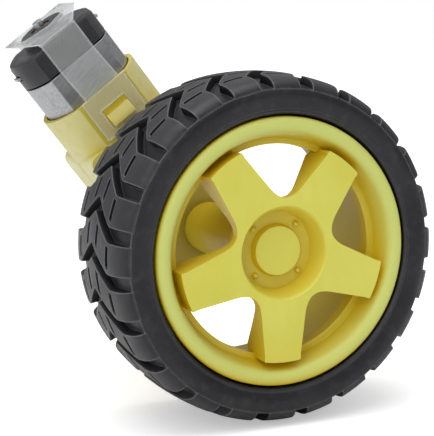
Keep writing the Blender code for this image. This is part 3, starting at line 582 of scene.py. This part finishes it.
def tread_ring(row, inward):
    """Points once round the tyre on one row, sunk where a groove or a slit crosses it."""
    radius, depth, groove, slit = row
    columns = (0.0, GROOVE_END / 2, GROOVE_END, BLOCK_START, *SLIT_START, *BLOCK_STEPS, *SLIT_END, BLOCK_END)
    points = []
    for period in range(TREAD_PERIODS):
        for column in columns:
            drop = groove if column <= GROOVE_END else 0.0
            if SLIT_START[1] <= column <= SLIT_END[0]:
                drop = slit
            spot = Vector((radius, depth)) + inward * drop
            angle = TREAD_PHASE + 2 * pi * (period + column) / TREAD_PERIODS
            angle += chevron(depth) / CROWN_RADIUS
            points.append((spot.x * cos(angle), spot.y, spot.x * sin(angle)))
    return points


def make_tyre():
    """Tyre skinned over rows of points that run round it, from one bead to the other."""
    rows = tyre_rows()
    bm = bmesh.new()
    grid = []
    for index, row in enumerate(rows):
        before = rows[max(index - 1, 0)]
        after = rows[min(index + 1, len(rows) - 1)]
        along = Vector((after[0] - before[0], after[1] - before[1])).normalized()
        inward = Vector((-along.y, along.x))
        grid.append([bm.verts.new(point) for point in tread_ring(row, inward)])
    for index, ring in enumerate(grid):
        following = grid[(index + 1) % len(grid)]
        for step in range(len(ring)):
            after = (step + 1) % len(ring)
            bm.faces.new((ring[step], ring[after], following[after], following[step]))
    bmesh.ops.recalc_face_normals(bm, faces=bm.faces)
    bmesh.ops.transform(bm, matrix=Matrix.Translation((0, WHEEL_FACE / MM, 0)), verts=bm.verts)
    bmesh.ops.scale(bm, vec=(MM, MM, MM), verts=bm.verts)
    mesh = bpy.data.meshes.new("tread_tyre")
    bm.to_mesh(mesh)
    bm.free()
    tyre = link("tread_tyre", mesh)
    soften(tyre, TYRE_ROUNDING * MM, 2, TYRE_ROUNDED_ANGLE)
    dress(tyre, "tyre_rubber")
    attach(tyre, "wheel")
    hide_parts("tyre")


# ---------------------------------------------------------------- rim

def rim_profile():
    """Half section of the rim, from the boss's back end round the barrel to the hub's face."""
    return (
        (0, 36.0), (5.0, 36.0), (5.2, 35.8), (5.6, 6.6), (8.6, 6.6), (9.4, 2.6), (10.1, 2.2),
        (18.6, 8.2), (20.4, 7.0), (21.6, 7.6), (22.6, 9.4), (23.1, 25.8), (24.4, 25.8), (24.7, 25.5),
        (24.7, 24.2), (23.9, 23.8), (23.9, 3.1), (24.7, 2.6), (24.75, 1.5), (24.65, 1.0), (24.5, 0.66),
        (24.2, 0.42), (23.8, 0.28), (23.3, 0.22), (22.8, 0.32), (22.3, 0.62), (21.9, 1.1), (21.6, 1.7),
        (21.1, 3.2), (20.75, 4.5), (20.5, 4.9), (SPOKE_TIP_RADIUS, RING_DEPTH), (SPOKE_TIP_RADIUS, 0.5),
        (8.7, 0.5), (8.2, 1.0), (7.2, 4.6), (4.9, 4.6), (4.5, 3.3), (0, 3.3),
    )


def arc(radius, start, end, count):
    """Points along an arc about the axle."""
    angles = [start + (end - start) * step / count for step in range(count + 1)]
    return [(radius * cos(angle), radius * sin(angle)) for angle in angles]


def window_outline(angle, outer_radius):
    """One opening between two spokes, round at its inner end."""
    half_sector = pi / SPOKES
    outer = half_sector - asin(SPOKE_HALF_WIDTH_OUT / outer_radius)
    inner = half_sector - asin(SPOKE_HALF_WIDTH_IN / SPOKE_FLARE_RADIUS)
    side = (SPOKE_FLARE_RADIUS * cos(inner), SPOKE_FLARE_RADIUS * sin(inner))
    edge = (outer_radius * cos(outer), outer_radius * sin(outer))
    slope = (edge[1] - side[1]) / (edge[0] - side[0])
    corner = (WINDOW_INNER_RADIUS, side[1] - slope * (side[0] - WINDOW_INNER_RADIUS))
    tip = (WINDOW_INNER_RADIUS, 0)
    bottom = []
    for step in range(WINDOW_CURVE_STEPS + 1):
        t = step / WINDOW_CURVE_STEPS
        bottom.append([(1 - t) ** 2 * side[k] + 2 * t * (1 - t) * corner[k] + t * t * tip[k] for k in (0, 1)])
    upper = arc(outer_radius, -outer, outer, 18) + bottom
    lower = [(x, -y) for x, y in reversed(bottom[:-1])]
    return [(x * cos(angle) - y * sin(angle), x * sin(angle) + y * cos(angle)) for x, y in upper + lower]


def bore_outline():
    """Round hole with two flats."""
    half = asin(BORE_FLAT / BORE_RADIUS)
    return arc(BORE_RADIUS, -half, half, 8) + arc(BORE_RADIUS, pi - half, pi + half, 8)


def make_rim():
    """Turned rim with five windows cut between the spokes and the shaft's bore in its boss."""
    rim = link("spoked_rim", turned_mesh("spoked_rim", rim_profile(), RIM_STEPS))
    angles = [-(SPOKE_ANGLE + 2 * pi * (spoke + 0.5) / SPOKES) for spoke in range(SPOKES)]
    deep = [window_outline(angle, WINDOW_OUTER_RADIUS) for angle in angles]
    shallow = [window_outline(angle, SPOKE_TIP_RADIUS + WINDOW_TIP_GAP) for angle in angles]
    cut(rim, link("deep", prism_mesh("deep", deep, -CUT_EXTRA, WINDOW_CUT_BACK)))
    cut(rim, link("shallow", prism_mesh("shallow", shallow, -CUT_EXTRA, RING_DEPTH)))
    cut(rim, link("bore", prism_mesh("bore", [bore_outline()], *BORE_SPAN)))
    rim.data.transform(AXLE_TO_FRAME @ Matrix.Scale(MM, 4))
    merge_flat(rim)
    soften(rim, RIM_ROUNDING * MM, 3, RIM_ROUNDED_ANGLE)
    dress(rim, "rim_plastic")
    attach(rim, "wheel")
    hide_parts("wheel_rim")


def make_nubs():
    """Small round moulded pips on the hub's floor."""
    bm = bmesh.new()
    for nub in range(NUB_COUNT):
        angle = NUB_ANGLE + 2 * pi * nub / NUB_COUNT
        spot = Matrix.Translation((NUB_RADIUS * cos(angle), NUB_RADIUS * sin(angle), NUB_DEPTH))
        bmesh.ops.create_icosphere(bm, subdivisions=3, radius=NUB_SIZE, matrix=spot)
    mesh = bpy.data.meshes.new("hub_nubs")
    bm.to_mesh(mesh)
    bm.free()
    mesh.transform(AXLE_TO_FRAME @ Matrix.Scale(MM, 4))
    mesh.shade_smooth()
    nubs = link("hub_nubs", mesh)
    dress(nubs, "rim_plastic")
    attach(nubs, "wheel")


# ---------------------------------------------------------------- gear motor

# Outer pieces: (look, rounding of the edges in millimetres, segments)
FINE_NODES = {
    "housing_wheel_side": ("housing_plastic", 0.28, 3),
    "housing_far_side": ("housing_plastic", 0.28, 3),
    "motor_can": ("can_steel", 0.16, 2),
    "motor_end_cap": ("cap_plastic", 0.20, 3),
    "motor_strap": ("strap_plastic", 0.14, 2),
    "output_shaft": ("gear_nylon", 0.12, 2),
    "terminal_1": ("steel", 0.06, 2),
    "terminal_2": ("steel", 0.06, 2),
    "rear_bush": ("brass", 0.08, 2),
    "motor_shaft": ("steel", 0.12, 2),
    "housing_screw_1": ("steel", 0.06, 2),
    "housing_screw_2": ("steel", 0.06, 2),
    "housing_screw_3": ("steel", 0.06, 2),
    "housing_screw_4": ("steel", 0.06, 2),
}
INNER_LOOKS = {
    "gear_nylon": ("output_gear", "idler_gear", "middle_gear", "crown_gear"),
    "steel": ("gear_pin",),
    "can_steel": ("armature_core",),
    "brass": ("motor_pinion", "front_bush"),
    "copper": ("commutator", "winding_1", "winding_2", "winding_3", "brush_1", "brush_2"),
    "magnet": ("magnet_1", "magnet_2"),
}


def dress_motor():
    """Finer copies of the outer pieces, and better materials on the inner ones."""
    for node, (look, width, segments) in FINE_NODES.items():
        refined(node, look, width * MM, segments)
    for look, nodes in INNER_LOOKS.items():
        for node in nodes:
            piece = frame["nodes"][node]
            for place in piece.material_slots:
                place.material = LOOKS[look]


# ---------------------------------------------------------------- stage

def floor_material():
    """Nearly white paper, lit up a little for the camera's own rays so that it runs into the sky."""
    look = Look("floor", 0.7)
    look.colour(look.blend(look.noise(60 * MM, 2.0), (0.93, 0.93, 0.93), (0.95, 0.95, 0.95)))
    look.shader.inputs["Emission Color"].default_value = (1, 1, 1, 1)
    seen = look.node("ShaderNodeLightPath").outputs["Is Camera Ray"]
    look.join(look.times(seen, FLOOR_GLOW), look.shader.inputs["Emission Strength"])
    return look.material


def make_floor():
    bm = bmesh.new()
    bmesh.ops.create_grid(bm, x_segments=1, y_segments=1, size=FLOOR_SIZE / 2)
    mesh = bpy.data.meshes.new("floor")
    bm.to_mesh(mesh)
    bm.free()
    mesh.materials.append(floor_material())
    floor = link("floor", mesh)
    floor.location = (0, 0, FLOOR_LEVEL)


def add_sun(name, strength, width, source):
    sun = bpy.data.lights.new(name, "SUN")
    sun.energy = strength
    sun.angle = width
    lamp = bpy.data.objects.new(name, sun)
    bpy.context.scene.collection.objects.link(lamp)
    lamp.rotation_euler = source.to_track_quat("Z", "Y").to_euler()


def make_light():
    """White studio sky that is seen at full strength and lights the object more softly, and suns."""
    world = bpy.data.worlds.new("studio")
    world.use_nodes = True
    background = world.node_tree.nodes["Background"]
    background.inputs["Color"].default_value = (1, 1, 1, 1)
    rays = world.node_tree.nodes.new("ShaderNodeLightPath")
    sky = world.node_tree.nodes.new("ShaderNodeTexCoord")
    parts = world.node_tree.nodes.new("ShaderNodeSeparateXYZ")
    light = world.node_tree.nodes.new("ShaderNodeMapRange")
    light.inputs["To Min"].default_value = WORLD_LOW
    light.inputs["To Max"].default_value = WORLD_HIGH
    strength = world.node_tree.nodes.new("ShaderNodeMapRange")
    strength.inputs["To Max"].default_value = WORLD_SHOWN
    for source, target in (
        (sky.outputs["Generated"], parts.inputs["Vector"]),
        (parts.outputs["Z"], light.inputs["Value"]),
        (light.outputs["Result"], strength.inputs["To Min"]),
        (rays.outputs["Is Camera Ray"], strength.inputs["Value"]),
        (strength.outputs["Result"], background.inputs["Strength"]),
    ):
        world.node_tree.links.new(source, target)
    bpy.context.scene.world = world
    for name, (strength, width, source) in SUNS.items():
        add_sun(name, strength, width, source)
    bpy.context.scene.view_settings.view_transform = "Standard"


def make_camera():
    """Camera at the reference view: azimuth 0 looks along +Y, and a positive roll tips it left."""
    azimuth, elevation, roll = CAMERA_AZIMUTH, CAMERA_ELEVATION, CAMERA_ROLL
    back = Vector((sin(azimuth) * cos(elevation), -cos(azimuth) * cos(elevation), sin(elevation)))
    level = Vector((cos(azimuth), sin(azimuth), 0))
    upright = back.cross(level)
    right = level * cos(roll) + upright * sin(roll)
    up = back.cross(right)
    lens = bpy.data.cameras.new("camera")
    lens.lens = CAMERA_LENS
    lens.sensor_width = CAMERA_SENSOR
    lens.clip_start = 0.01
    camera = bpy.data.objects.new("camera", lens)
    bpy.context.scene.collection.objects.link(camera)
    place = CAMERA_TARGET + Vector((0, WHEEL_FACE, 0)) + back * CAMERA_DISTANCE
    camera.matrix_world = Matrix((
        (right.x, up.x, back.x, place.x), (right.y, up.y, back.y, place.y),
        (right.z, up.z, back.z, place.z), (0, 0, 0, 1),
    ))
    bpy.context.scene.camera = camera


make_tyre()
make_rim()
make_nubs()
dress_motor()
make_floor()
make_light()
make_camera()
